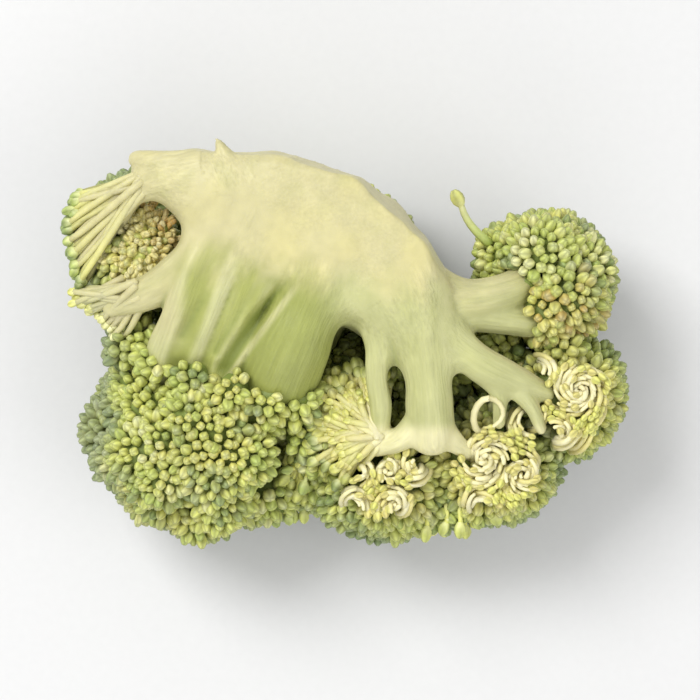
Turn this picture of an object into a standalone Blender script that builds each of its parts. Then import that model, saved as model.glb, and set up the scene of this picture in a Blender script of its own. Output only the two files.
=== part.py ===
"""A broccoli floret, lying crown down with its cut stalk towards +Y and its stems facing up.

One stalk carries branches that fan out and down into bud clusters. Each cluster is a lobed dome of buds. The
clusters stand side by side, a small gap apart, and together make the crown that the floret rests on. A knife
has passed over the stalk and over some of the clusters, which leaves them flat on top.

Metres, +Z up. The origin is under the middle of the floret, on the surface that it lies on.
"""

import math

import bmesh
import bpy
from mathutils import Matrix, Vector
from mathutils.geometry import interpolate_bezier

MM = 0.001

# The crown: the box that the clusters fill, up to the flat cut on the stalk.
CROWN_WIDTH = 69 * MM
CROWN_DEPTH = 48 * MM
CROWN_HEIGHT = 34 * MM

# Clearances. FLAT_FOOT is how far a resting cluster is pressed flat.
CLUSTER_GAP = 0.35 * MM
STALK_GAP = 0.45 * MM
FLAT_FOOT = 0.5 * MM

# Each cluster: how far out it sits along X and Y, from -1 to 1 against the crown's sides, how far up, from 0
# on the ground to 1 at the crown's top, and its half sizes as shares of the crown's width, depth and height.
CLUSTERS = {
    "bud_cluster_front_left": ((-0.95, -1.0, 0.0), (0.225, 0.290, 0.44)),
    "bud_cluster_left": ((-1.0, 0.90, 0.35), (0.116, 0.208, 0.37)),
    "bud_cluster_middle": ((-0.04, -0.42, 0.66), (0.080, 0.125, 0.21)),
    "bud_cluster_front": ((0.16, -1.0, 0.10), (0.138, 0.188, 0.37)),
    "bud_cluster_front_right": ((0.70, -0.90, 0.06), (0.138, 0.198, 0.38)),
    "bud_cluster_right": ((1.0, -0.34, 0.30), (0.116, 0.177, 0.35)),
    "bud_cluster_back_right": ((0.95, 0.60, 0.28), (0.138, 0.198, 0.40)),
    "bud_cluster_back": ((-0.06, 0.84, 0.0), (0.145, 0.188, 0.29)),
    "bud_cluster_back_left": ((-0.66, 0.84, 0.04), (0.145, 0.188, 0.32)),
    "bud_cluster_base_left": ((-0.30, -0.22, 0.0), (0.174, 0.250, 0.27)),
    "bud_cluster_base_right": ((0.44, -0.10, 0.0), (0.174, 0.250, 0.27)),
}

# The clusters that the knife went over, the height of its pass at the middle of the front, and its slopes.
KNIFED = (
    "bud_cluster_left",
    "bud_cluster_middle",
    "bud_cluster_front",
    "bud_cluster_front_right",
    "bud_cluster_right",
)
KNIFE_HEIGHT = 22.5 * MM
KNIFE_SLOPE_X = -0.05
KNIFE_SLOPE_Y = 0.12

# Lobes that swell from each cluster.
LOBES = 17
LOBE_SWELL = 0.09
LOBE_SPREAD = 0.46

# The stalk's thick root, from its left tip round to its right end: points along it, as shares of the crown's
# half width and half depth with a depth below its top, and their radii.
ROOT = (
    ((-0.66, 0.85, 6.5 * MM), 4.2 * MM),
    ((-0.38, 0.79, 6.0 * MM), 7.0 * MM),
    ((-0.12, 0.67, 6.0 * MM), 9.2 * MM),
    ((0.10, 0.48, 7.0 * MM), 8.6 * MM),
    ((0.22, 0.24, 8.5 * MM), 6.2 * MM),
)

# Each branch: how far along the root it starts, from 0 at the left tip to 1, the cluster that it feeds, where
# in that cluster it ends, as shares of its half sizes, its radius at the root and at its end, and how far it
# bows up, in mm. BRANCH_WAIST is the share of its radius that it loses half way along.
BRANCHES = (
    (0.02, "bud_cluster_left", (0.20, 0.20, 0.24), 3.4, 2.4, 1.5),
    (0.12, "bud_cluster_left", (0.30, -0.60, 0.24), 3.6, 2.4, 1.5),
    (0.32, "bud_cluster_front_left", (-0.23, 0.64, 0.30), 4.6, 3.4, 2.0),
    (0.42, "bud_cluster_front_left", (0.10, 0.57, 0.30), 4.6, 3.4, 1.5),
    (0.56, "bud_cluster_front_left", (0.61, 0.36, 0.30), 6.4, 5.4, 2.0),
    (0.80, "bud_cluster_middle", (0.70, -0.17, 0.14), 3.0, 1.5, 1.5),
    (0.86, "bud_cluster_front", (0.61, 0.61, 0.40), 4.6, 3.2, 2.5),
    (0.97, "bud_cluster_front_right", (0.05, 0.63, 0.38), 3.2, 1.9, 2.0),
    (0.99, "bud_cluster_right", (-0.50, 0.30, 0.38), 3.6, 2.6, 2.5),
    (0.98, "bud_cluster_back_right", (-0.53, -0.42, 0.22), 4.0, 3.2, 1.5),
    (0.70, "bud_cluster_back", (0.0, -0.10, 0.30), 5.5, 4.5, 0.0),
    (0.36, "bud_cluster_back_left", (0.10, 0.0, 0.27), 5.5, 4.2, 0.0),
    (0.60, "bud_cluster_base_left", (0.0, 0.17, 0.33), 6.0, 4.6, 0.0),
    (0.84, "bud_cluster_base_right", (-0.17, 0.17, 0.33), 6.0, 4.6, 0.0),
)
BRANCH_WAIST = 0.16
BRANCH_POINTS = 9
TUBE_SIDES_EACH_QUARTER = 3

# The knife cuts that freed the stalk: a point on each, placed like the root's, and the way its face looks.
STALK_CUTS = (
    ((-0.12, 0.60, 0.0), (-0.04, -0.10, 1.0)),
    ((-0.35, 0.985, 6.0 * MM), (0.05, 1.0, 0.10)),
    ((0.15, 0.73, 6.0 * MM), (0.72, 0.68, 0.14)),
)

# How finely the stalk's surface is drawn.
STALK_VOXEL = 0.75 * MM
STALK_SMOOTHING_STEPS = 8
STALK_FACES = 3000

# Linear colours and roughness of the stem's flesh and of the buds.
STALK_COLOUR = (0.62, 0.62, 0.36, 1.0)
STALK_ROUGHNESS = 0.5
BUD_COLOUR = (0.22, 0.27, 0.10, 1.0)
BUD_ROUGHNESS = 0.6


def clear_scene():
    for old in list(bpy.data.objects):
        bpy.data.objects.remove(old)


def material(name, colour, roughness):
    made = bpy.data.materials.new(name)
    made.use_nodes = True
    shader = made.node_tree.nodes["Principled BSDF"]
    shader.inputs["Base Color"].default_value = colour
    shader.inputs["Roughness"].default_value = roughness
    shader.inputs["Metallic"].default_value = 0.0
    return made


def new_object(name, mesh, finish=None):
    made = bpy.data.objects.new(name, mesh)
    bpy.context.scene.collection.objects.link(made)
    if finish is not None:
        mesh.materials.clear()
        mesh.materials.append(finish)
    return made


def cluster_half_sizes(name):
    across, along, up = CLUSTERS[name][1]
    return Vector((across * CROWN_WIDTH, along * CROWN_DEPTH, up * CROWN_HEIGHT))


def cluster_centre(name):
    """The cluster's place in the crown, from how far out and up it sits and from its own size."""
    across, along, up = CLUSTERS[name][0]
    half = cluster_half_sizes(name)
    return Vector(
        (
            across * (CROWN_WIDTH / 2 - half.x),
            along * (CROWN_DEPTH / 2 - half.y),
            half.z - FLAT_FOOT + up * (CROWN_HEIGHT - 2 * half.z),
        )
    )


def stalk_place(across, along, depth):
    """A place on the stalk, from its shares of the crown's half sizes and its depth below the crown's top."""
    return Vector((across * CROWN_WIDTH / 2, along * CROWN_DEPTH / 2, CROWN_HEIGHT - depth))


def even_directions(count):
    """Directions spread evenly over a ball, along a golden spiral."""
    golden = math.pi * (3 - math.sqrt(5))
    found = []
    for n in range(count):
        up = 1 - (2 * n + 1) / count
        out = math.sqrt(1 - up * up)
        found.append(Vector((out * math.cos(golden * n), out * math.sin(golden * n), up)))
    return found


def swell(direction, lobes):
    """How far a cluster's surface stands out that way: highest in the middle of each lobe."""
    nearest = max(direction.dot(lobe) for lobe in lobes)
    off = math.acos(min(1.0, nearest)) / LOBE_SPREAD
    return 1 - LOBE_SWELL * min(1.0, off * off)


def cut_away(shape, point, outwards):
    """Removes what lies past a plane and closes the cut with a flat face."""
    cut = bmesh.ops.bisect_plane(
        shape,
        geom=shape.verts[:] + shape.edges[:] + shape.faces[:],
        dist=1e-7,
        plane_co=point,
        plane_no=outwards,
        clear_outer=True,
    )
    rim = [e for e in cut["geom_cut"] if isinstance(e, bmesh.types.BMEdge)]
    if rim:
        bmesh.ops.holes_fill(shape, edges=rim, sides=0)


def reach(half_sizes, direction):
    """How far an ellipsoid of these half sizes reaches along a direction, as its flat support does."""
    return math.sqrt(sum((h * d) ** 2 for h, d in zip(half_sizes, direction)))


def knife_plane():
    normal = Vector((-KNIFE_SLOPE_X, -KNIFE_SLOPE_Y, 1.0)).normalized()
    return Vector((0.0, -CROWN_DEPTH / 2, KNIFE_HEIGHT)), normal


def cluster_shape(name):
    """A lobed dome, cut flat where it meets its neighbours, the ground and the knife."""
    centre = cluster_centre(name)
    half_sizes = cluster_half_sizes(name)
    shape = bmesh.new()
    bmesh.ops.create_icosphere(shape, subdivisions=3, radius=1.0)
    lobes = even_directions(LOBES)
    turn = Matrix.Rotation(sum(centre) / MM, 3, "Z")
    lobes = [turn @ lobe for lobe in lobes]
    for vertex in shape.verts:
        out = swell(vertex.co.normalized(), lobes)
        vertex.co = centre + Vector(h * out * c for h, c in zip(half_sizes, vertex.co))
    for other in CLUSTERS:
        if other == name:
            continue
        apart = cluster_centre(other) - centre
        towards = apart.normalized()
        own = reach(half_sizes, towards)
        its = reach(cluster_half_sizes(other), towards)
        if own + its <= apart.length:
            continue
        share = (apart.length + own - its) / 2
        cut_away(shape, centre + towards * (share - CLUSTER_GAP / 2), towards)
    cut_away(shape, Vector((0, 0, 0)), Vector((0, 0, -1)))
    if name in KNIFED:
        cut_away(shape, *knife_plane())
    mesh = bpy.data.meshes.new(name)
    shape.to_mesh(mesh)
    shape.free()
    return mesh


def along_root(share):
    """A point on the stalk's root line and the radius there."""
    place = share * (len(ROOT) - 1)
    first = min(int(place), len(ROOT) - 2)
    (a, radius_a), (b, radius_b) = ROOT[first], ROOT[first + 1]
    rest = place - first
    return stalk_place(*a).lerp(stalk_place(*b), rest), radius_a + (radius_b - radius_a) * rest


def branch_line(branch):
    """Points along a branch with their radii: it leaves the root and bows down into its cluster."""
    share, cluster, end_shares, thick, thin, bow = branch
    start = along_root(share)[0]
    end = cluster_centre(cluster) + Vector(end_shares) * cluster_half_sizes(cluster)
    lift = Vector((0, 0, bow * MM))
    first_handle = start.lerp(end, 1 / 3) + lift
    second_handle = start.lerp(end, 2 / 3) + lift
    points = interpolate_bezier(start, first_handle, second_handle, end, BRANCH_POINTS)
    radii = []
    for n in range(BRANCH_POINTS):
        step = n / (BRANCH_POINTS - 1)
        waist = 1 - BRANCH_WAIST * math.sin(math.pi * step)
        radii.append((thick + (thin - thick) * step) * waist * MM)
    return points, radii


def tube(name, points, radii):
    """A round tube through the points, with its own radius at each, closed at both ends."""
    line = bpy.data.curves.new(name, "CURVE")
    line.dimensions = "3D"
    line.bevel_depth = 1.0
    line.bevel_resolution = TUBE_SIDES_EACH_QUARTER
    line.use_fill_caps = True
    spline = line.splines.new("POLY")
    spline.points.add(len(points) - 1)
    for at, place, radius in zip(spline.points, points, radii):
        at.co = (*place, 1.0)
        at.radius = radius
    carrier = new_object(name, line)
    bpy.context.view_layer.update()
    graph = bpy.context.evaluated_depsgraph_get()
    mesh = bpy.data.meshes.new_from_object(carrier.evaluated_get(graph))
    bpy.data.objects.remove(carrier)
    return mesh


def stalk_bundle(extra):
    """The stalk's overlapping tubes in one mesh, each thicker by extra, with balls at the tube ends."""
    bundle = bmesh.new()
    root_points = [stalk_place(*place) for place, radius in ROOT]
    root_radii = [radius + extra for point, radius in ROOT]
    lines = [(root_points, root_radii)]
    for branch in BRANCHES:
        points, radii = branch_line(branch)
        lines.append((points, [radius + extra for radius in radii]))
    for points, radii in lines:
        mesh = tube("stem", points, radii)
        bundle.from_mesh(mesh)
        bpy.data.meshes.remove(mesh)
        for place, radius in ((points[0], radii[0]), (points[-1], radii[-1])):
            bmesh.ops.create_icosphere(
                bundle, subdivisions=2, radius=radius, matrix=Matrix.Translation(place)
            )
    mesh = bpy.data.meshes.new("stalk_bundle")
    bundle.to_mesh(mesh)
    bundle.free()
    return mesh


def grown_together(name, bundle):
    """The bundle's tubes as one smooth skin, as they grew."""
    carrier = new_object(name, bundle)
    join = carrier.modifiers.new("join", "REMESH")
    join.mode = "VOXEL"
    join.voxel_size = STALK_VOXEL
    smooth = carrier.modifiers.new("smooth", "SMOOTH")
    smooth.factor = 0.5
    smooth.iterations = STALK_SMOOTHING_STEPS
    bpy.context.view_layer.update()
    graph = bpy.context.evaluated_depsgraph_get()
    dense = bpy.data.meshes.new_from_object(carrier.evaluated_get(graph))
    carrier.modifiers.clear()
    carrier.data = dense
    thin = carrier.modifiers.new("thin", "DECIMATE")
    thin.ratio = STALK_FACES / (2 * len(dense.polygons))
    bpy.context.view_layer.update()
    graph = bpy.context.evaluated_depsgraph_get()
    light = bpy.data.meshes.new_from_object(carrier.evaluated_get(graph))
    bpy.data.objects.remove(carrier)
    return light


def stalk_shape(extra, cut):
    mesh = grown_together("stalk_skin", stalk_bundle(extra))
    if cut:
        shape = bmesh.new()
        shape.from_mesh(mesh)
        for place, outwards in STALK_CUTS:
            cut_away(shape, stalk_place(*place), Vector(outwards).normalized())
        bmesh.ops.triangulate(shape, faces=shape.faces[:])
        shape.to_mesh(mesh)
        shape.free()
    return mesh


def largest_piece(mesh):
    """Keeps the largest of a mesh's separate pieces: crumbs that a cut has freed are dropped."""
    shape = bmesh.new()
    shape.from_mesh(mesh)
    left, pieces = set(shape.verts), []
    while left:
        reached, piece = [left.pop()], []
        while reached:
            vertex = reached.pop()
            piece.append(vertex)
            for edge in vertex.link_edges:
                other = edge.other_vert(vertex)
                if other in left:
                    left.remove(other)
                    reached.append(other)
        pieces.append(piece)
    pieces.sort(key=len)
    for crumb in pieces[:-1]:
        bmesh.ops.delete(shape, geom=crumb, context="VERTS")
    shape.to_mesh(mesh)
    shape.free()


def fit_round_stalk(cluster, clearance):
    """Cuts the cluster back where the stalk runs into it, with the clearance's gap."""
    cut = cluster.modifiers.new("socket", "BOOLEAN")
    cut.operation = "DIFFERENCE"
    cut.solver = "EXACT"
    cut.object = clearance
    bpy.context.view_layer.update()
    graph = bpy.context.evaluated_depsgraph_get()
    mesh = bpy.data.meshes.new_from_object(cluster.evaluated_get(graph))
    cluster.modifiers.clear()
    largest_piece(mesh)
    cluster.data = mesh


def rest_on_ground(pieces):
    """Moves the floret so that the origin is under its middle, at its lowest point."""
    points = [vertex.co for piece in pieces for vertex in piece.data.vertices]
    low = Vector(min(point[axis] for point in points) for axis in range(3))
    high = Vector(max(point[axis] for point in points) for axis in range(3))
    shift = Vector((-(low.x + high.x) / 2, -(low.y + high.y) / 2, -low.z))
    for piece in pieces:
        piece.data.transform(Matrix.Translation(shift))


def main():
    clear_scene()
    stem_finish = material("stem_flesh", STALK_COLOUR, STALK_ROUGHNESS)
    bud_finish = material("bud_skin", BUD_COLOUR, BUD_ROUGHNESS)
    stalk = new_object("stalk", stalk_shape(0.0, cut=True), stem_finish)
    stalk.data.shade_smooth()
    clearance = new_object("stalk_clearance", stalk_shape(STALK_GAP, cut=False))
    clearance.hide_render = True
    clearance.display_type = "WIRE"
    pieces = [stalk]
    for name in CLUSTERS:
        cluster = new_object(name, cluster_shape(name))
        fit_round_stalk(cluster, clearance)
        cluster.data.materials.clear()
        cluster.data.materials.append(bud_finish)
        pieces.append(cluster)
    bpy.data.objects.remove(clearance)
    rest_on_ground(pieces)


main()
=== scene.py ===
"""The looks of a broccoli floret: a cut stalk with its stems, and the bud clusters at their ends.

The floret lies crown down, and its stems face up. The stalk is modelled as stems that grow together. Each
bud cluster is grown the way the plant grows it: lobes cover the cluster, and each lobe is a small dome of
buds set round a golden spiral. Where a knife went over the crown, the lobes are open and their stems show.

All work is in millimetres until a mesh is made. The frame's box says how large everything is.
"""

import math

import bmesh
import bpy
import numpy as np
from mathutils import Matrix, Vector
from mathutils.bvhtree import BVHTree


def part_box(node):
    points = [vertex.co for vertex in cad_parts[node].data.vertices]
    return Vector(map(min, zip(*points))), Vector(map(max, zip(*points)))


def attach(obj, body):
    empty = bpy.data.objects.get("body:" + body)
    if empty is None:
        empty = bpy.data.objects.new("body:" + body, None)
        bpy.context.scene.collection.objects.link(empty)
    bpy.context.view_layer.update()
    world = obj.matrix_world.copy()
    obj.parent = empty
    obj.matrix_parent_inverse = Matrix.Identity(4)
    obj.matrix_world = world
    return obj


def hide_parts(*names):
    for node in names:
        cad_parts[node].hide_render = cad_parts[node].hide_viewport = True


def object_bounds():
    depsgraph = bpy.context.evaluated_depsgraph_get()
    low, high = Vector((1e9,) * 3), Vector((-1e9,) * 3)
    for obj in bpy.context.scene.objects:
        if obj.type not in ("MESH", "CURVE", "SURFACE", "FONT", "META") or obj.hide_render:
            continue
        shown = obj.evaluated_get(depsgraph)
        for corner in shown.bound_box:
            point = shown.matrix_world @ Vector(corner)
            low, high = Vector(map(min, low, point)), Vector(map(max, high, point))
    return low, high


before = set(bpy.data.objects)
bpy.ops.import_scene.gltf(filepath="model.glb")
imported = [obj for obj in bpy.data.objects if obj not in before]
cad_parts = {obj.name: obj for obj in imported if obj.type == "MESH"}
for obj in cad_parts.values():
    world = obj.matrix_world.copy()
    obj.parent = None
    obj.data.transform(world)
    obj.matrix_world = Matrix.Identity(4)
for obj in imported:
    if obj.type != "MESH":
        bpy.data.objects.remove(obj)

MM = 0.001
CAD_BOX = [list(corner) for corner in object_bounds()]
LOW = np.array(CAD_BOX[0]) / MM
HIGH = np.array(CAD_BOX[1]) / MM

# The places below are given on a floret of this size, and spread to the frame's own box.
DRAWN_SIZE = np.array((68.5, 48.2, 34.7))
GOLDEN_ANGLE = math.pi * (3 - math.sqrt(5))
UP = np.array((0, 0, 1.0))

# The root of the stalk, from its left tip round to the right: x, y, z and radius.
ROOT = (
    (-25.0, 22.4, 28.8, 2.1),
    (-20.0, 20.4, 28.4, 4.7),
    (-13.0, 18.2, 28.2, 7.0),
    (-4.0, 15.2, 27.8, 9.0),
    (3.0, 10.9, 27.2, 8.7),
    (7.0, 5.8, 26.6, 6.4),
    (8.2, 1.8, 25.6, 4.6),
)

# The stems that can be seen, each from the root to its cluster: x, y, z and radius. The thorn is a torn flap
# of skin that stands off the cut edge.
STEMS = {
    "left_upper": ((-20.0, 20.2, 28.3, 3.4), (-24.6, 19.4, 28.0, 2.3), (-28.5, 15.0, 24.5, 1.2)),
    "left_lower": (
        (-15.5, 15.0, 28.8, 3.9),
        (-19.6, 9.8, 28.0, 2.9),
        (-24.2, 7.0, 26.0, 2.2),
        (-28.5, 5.2, 23.8, 1.4),
    ),
    "far_left": (
        (-14.0, 16.5, 28.6, 4.2),
        (-17.6, 11.0, 29.2, 3.0),
        (-20.0, 5.0, 28.0, 2.3),
        (-22.0, 0.0, 24.0, 2.3),
        (-22.5, -4.0, 18.5, 2.3),
    ),
    "left_rib": (
        (-11.5, 15.5, 29.2, 4.0),
        (-14.8, 9.4, 29.4, 2.3),
        (-17.0, 4.0, 28.2, 1.8),
        (-19.0, -0.8, 24.6, 2.0),
        (-20.0, -5.0, 18.5, 2.2),
    ),
    "thin_rib": (
        (-12.6, 15.4, 30.0, 2.6),
        (-16.0, 9.8, 30.0, 1.3),
        (-18.5, 4.2, 28.5, 1.2),
        (-20.6, -0.4, 25.0, 1.5),
        (-21.0, -4.5, 19.0, 1.8),
    ),
    "inner_rib": (
        (-8.0, 13.4, 30.6, 2.4),
        (-10.2, 8.6, 30.4, 1.4),
        (-12.6, 3.2, 28.6, 1.2),
        (-14.2, -1.6, 25.4, 1.5),
        (-15.0, -5.5, 19.5, 1.8),
    ),
    "left_middle": (
        (-8.6, 14.2, 29.0, 4.4),
        (-11.6, 8.4, 29.2, 2.5),
        (-14.1, 2.6, 27.8, 2.1),
        (-16.0, -2.4, 24.2, 2.3),
        (-16.5, -6.5, 18.5, 2.4),
    ),
    "broad": (
        (-2.4, 12.4, 27.4, 6.6),
        (-4.6, 6.4, 27.6, 4.7),
        (-7.2, 0.8, 25.8, 5.0),
        (-9.0, -3.2, 21.6, 5.2),
        (-10.5, -7.0, 16.0, 4.8),
    ),
    "slender": (
        (4.4, 7.6, 27.0, 3.2),
        (3.1, 3.0, 27.6, 2.1),
        (3.3, -2.0, 26.6, 1.75),
        (3.7, -6.6, 25.2, 1.4),
        (3.5, -11.0, 23.4, 1.0),
    ),
    "right_main": (
        (5.8, 8.0, 27.0, 5.4),
        (8.4, 2.4, 27.6, 3.7),
        (9.3, -4.0, 26.8, 2.95),
        (9.8, -9.8, 24.0, 3.1),
    ),
    "right_main_foot": ((9.3, -7.6, 25.2, 2.2), (6.4, -10.6, 24.4, 1.6), (3.2, -12.0, 23.2, 1.0)),
    "right_main_heel": ((9.8, -8.0, 25.0, 2.2), (12.0, -10.6, 24.0, 1.6), (14.2, -12.4, 22.8, 1.0)),
    "right_low": (
        (9.4, 3.4, 26.6, 3.8),
        (14.0, -0.6, 26.6, 2.4),
        (18.8, -3.2, 25.2, 2.1),
        (23.6, -5.2, 22.6, 1.4),
    ),
    "right_low_twig": ((14.6, -1.2, 26.2, 1.9), (17.8, -4.7, 25.3, 1.2), (18.1, -8.8, 23.6, 0.9)),
    "right_low_shoot": ((18.0, -2.8, 25.2, 1.6), (21.6, -6.4, 24.4, 1.1), (23.2, -9.6, 22.8, 0.8)),
    "right_high": (
        (9.2, 6.4, 26.0, 4.2),
        (14.2, 5.9, 25.6, 2.7),
        (19.0, 7.0, 23.8, 2.4),
        (23.0, 9.6, 19.5, 2.2),
    ),
    "right_high_low": (
        (11.0, 4.8, 25.6, 3.2),
        (15.8, 4.1, 25.0, 1.9),
        (20.4, 3.5, 23.2, 1.9),
        (24.5, 3.4, 19.5, 1.8),
    ),
    "thorn": ((-13.9, 20.8, 31.0, 2.5), (-14.8, 23.0, 31.8, 1.25), (-15.9, 25.1, 32.3, 0.18)),
}

# The stems below the root: where each starts, the cluster that it feeds, where in the cluster's box it ends
# as a share of the box's half size, and its radii at the start and the end.
HIDDEN_STEMS = (
    ((-6.0, 14.0, 24.5), "bud_cluster_back", (0.0, -0.1, 0.0), 6.0, 4.4),
    ((-11.0, 16.0, 24.5), "bud_cluster_back_left", (0.1, 0.0, 0.0), 5.6, 4.2),
    ((-3.0, 12.0, 24.0), "bud_cluster_base_left", (0.0, 0.2, 0.1), 6.2, 4.6),
    ((3.0, 8.0, 23.5), "bud_cluster_base_right", (-0.1, 0.1, 0.1), 6.2, 4.6),
)

# The knife cuts that freed the stalk: a point and the way that each cut face looks. The first is the broad
# one on top, whose edge has dried back and rounded. The others are fresh.
TOP_CUT = ((-4.0, 20.0, 34.4), (-0.03, -0.15, 1.0))
BACK_CUTS = (
    ((-14.0, 23.6, 28.0), (0.03, 1.0, 0.10)),
    ((-2.0, 21.7, 28.0), (0.34, 0.94, 0.12)),
    ((4.6, 17.4, 28.0), (0.66, 0.75, 0.14)),
    ((9.4, 12.8, 28.0), (0.87, 0.48, 0.12)),
)
# Creases between the stems, as seen from above: x, y, half width and depth.
CREASES = (
    ((-6.2, 9.6, 0.3, 0.1), (-9.2, 6.2, 0.6, 1.0), (-12.0, 2.6, 0.75, 1.3), (-15.2, -2.2, 0.9, 1.4)),
    ((-14.2, 11.4, 0.3, 0.1), (-17.2, 6.2, 0.5, 0.7), (-20.1, 1.6, 0.6, 0.8)),
    ((-10.0, 9.0, 0.3, 0.1), (-13.2, 4.3, 0.5, 0.8), (-16.2, -0.2, 0.6, 0.9)),
    ((3.9, 3.6, 0.3, 0.1), (5.0, 0.4, 0.45, 0.7), (5.8, -3.0, 0.6, 0.9)),
    ((12.0, 3.4, 0.3, 0.1), (16.2, 2.0, 0.4, 0.6), (21.0, 1.6, 0.5, 0.7)),
    ((-20.6, 14.6, 0.3, 0.1), (-22.6, 10.6, 0.4, 0.4), (-26.4, 7.6, 0.4, 0.4)),
)
# The left edge of the broad stem, seen from above: a point on it, and how far it leans left per mm down.
BROAD_EDGE = (-6.7, 8.9)
BROAD_EDGE_LEAN = 0.776
ROOT_GIVES_WAY = 2.6  # how far the stems' own grain runs up over the root
JOIN_VOXEL = 0.55  # the fineness of the root's mesh while the knife cuts it
SKIN_VOXEL = 0.32  # the fineness of the whole stalk's skin
# The skin's relief: how high each pattern stands, and how wide it is, or how wide, deep and long on a stem.
FIBRE_RELIEF, FIBRE_SIZE = 0.11, (0.8, 0.8, 10.0)
FLUTE_RELIEF, FLUTE_SIZE = 0.55, (1.5, 1.5, 24.0)
SWELL_RELIEF, SWELL_SIZE = 0.16, 4.0
SCALLOP_RELIEF, SCALLOP_SIZE = 0.75, 3.1

# The clusters, and those that the knife sliced flat on its pass over the crown. It opened two of them as fans
# of fine stems, and the others as swirls.
CLUSTERS = [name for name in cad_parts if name.startswith("bud_cluster")]
SWIRLED = ("bud_cluster_front", "bud_cluster_front_right", "bud_cluster_right")
KNIFED = ("bud_cluster_left", "bud_cluster_middle") + SWIRLED
KNIFE_NORMAL = np.array((0.05, -0.12, 1.0)) / math.sqrt(0.05**2 + 0.12**2 + 1)
ON_THE_CUT = 0.97  # a face that points this near to the knife's normal lies on its cut

# Lobes added one by one, where a cluster laps round the stems that enter it: x, y, z and radius.
ADDED_LOBES = {
    "bud_cluster_front_left": (
        (-26.4, 0.8, 20.5, 3.2),
        (-22.8, -0.9, 23.2, 3.0),
        (-18.6, -3.0, 24.6, 3.0),
        (-14.2, -4.8, 25.0, 3.0),
        (-10.2, -5.9, 24.8, 3.0),
        (-6.4, -5.9, 23.0, 2.9),
        (-5.6, -10.2, 19.4, 3.0),
    ),
    "bud_cluster_front": (
        (-3.6, -12.5, 18.0, 3.0),
        (-4.4, -16.4, 14.0, 3.2),
        (11.2, -18.9, 15.2, 3.0),
        (11.4, -18.6, 10.2, 3.2),
        (11.4, -17.4, 5.6, 3.2),
    ),
    "bud_cluster_back_right": (
        (19.0, 11.6, 19.6, 3.2),
        (21.6, 8.4, 22.0, 3.0),
        (23.6, 3.8, 21.8, 2.9),
        (19.6, 0.2, 15.0, 3.0),
    ),
    "bud_cluster_right": (
        (25.6, 0.4, 19.6, 2.8),
    ),
}

# The opened lobes on the knife's face, as swirls of fine stem: x, y and radius.
ROSETTES = (
    (1.2, -14.4, 2.4),
    (4.6, -14.6, 1.9),
    (8.3, -14.2, 2.7),
    (5.6, -18.8, 2.6),
    (0.2, -18.6, 2.4),
    (10.8, -19.2, 2.4),
    (16.4, -13.2, 3.5),
    (21.4, -8.2, 2.6),
    (15.4, -19.0, 2.3),
    (21.0, -15.0, 2.6),
    (27.7, -4.8, 3.4),
    (25.4, -10.4, 2.4),
    (22.8, -2.0, 2.2),
)

# Lobes and buds, in mm.
LOBE_RADIUS = 3.7
LOBE_SPACING = 6.0
BUD_WIDTH = 1.52
BUD_PACKING = 0.70  # the area that a bud takes on its lobe, as a share of its width squared
LOBE_REACH = 1.53  # how far round its lobe the buds go from the crown, in radians
FLOOR_REACH = 0.45  # how much further they go on a lobe that faces down
BUD_SIDES = 8
SEPAL_RIDGE = 0.05  # how far the middle of each sepal stands out, as a share of the bud's radius
PEDICEL_RADIUS = 0.17  # as a share of the bud's width
# Rings of a bud on its pedicel: height as a share of the bud's length, and radius as a share of its width. A
# height below 0 is a share of the pedicel's length.
BUD_RINGS = (
    (-1.0, PEDICEL_RADIUS),
    (-0.02, PEDICEL_RADIUS),
    (0.10, 0.31),
    (0.32, 0.47),
    (0.56, 0.49),
    (0.78, 0.37),
    (0.93, 0.19),
)
BUD_TIP = 0.965  # the height at its very tip
LOBE_BODY = 0.80  # how much of a lobe its own flesh fills under the buds, as a share of its radius
STRAND_STEPS = 7
# Where each run of random choices starts.
LOBE_SEED, BUD_SEED, STRAND_SEED = 100, 500, 900

# The studio: a card to lie on, its half width in metres. Lights: name, place and size in metres, and power in
# watts. An even sky. A long lens, whose view the floret fills to this share.
CARD = 3.0
LIGHTS = (
    ("key", (-0.30, 0.28, 0.55), 0.30, 3.5),
    ("fill", (0.45, -0.20, 0.50), 0.50, 1.2),
    ("front", (-0.05, -0.55, 0.30), 0.50, 0.9),
)
SKY = 0.62
LENS, SENSOR = 150, 36
FLORET_SHARE = 0.80
FOCUS_HEIGHT = 0.020  # the camera's distance counts from here


def linear(colour):
    """A hex sRGB colour as linear red, green and blue."""
    parts = np.array([int(colour[n : n + 2], 16) / 255 for n in (1, 3, 5)])
    return np.where(parts <= 0.04045, parts / 12.92, ((parts + 0.055) / 1.055) ** 2.4)


CREAM = linear("#c6bf90")  # cut flesh that has dried a little
PALE_STEM = linear("#c2c28e")  # skin of the right stems
GREEN_STEM = linear("#a1a65c")  # skin of the left stems
DEEP_STEM_AND_CREASE_SHADE = linear("#7f8a42")  # skin down the broad stem, and painted shade in the creases
PALE_FLESH = linear("#efe8b8")  # freshly cut fine stems
LIME_BUD = linear("#e4e47a")
PALE_BUD = linear("#f0efb4")  # the foot of a bud, where no light has greened it
GREEN_BUD = linear("#b4c46b")
DARK_BUD = linear("#788d5a")  # the outside of the crown
FROST = linear("#b6c29c")  # the wax on a bud's tip
YELLOW_BUD = linear("#e0d582")
OCHRE = linear("#c8a158")  # bruised buds
SHADED_LEAF = linear("#7c8a44")  # painted shade on the lobes and branches behind the buds


def mix(a, b, share):
    """From a to b by share, which may be one number for each row."""
    share = np.clip(np.asarray(share, float), 0, 1)[..., None]
    return np.asarray(a) * (1 - share) + np.asarray(b) * share


def ramp(value, low, high):
    """0 below low, 1 above high and a smooth rise between them."""
    share = np.clip((np.asarray(value, float) - low) / (high - low), 0, 1)
    return share * share * (3 - 2 * share)


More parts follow.
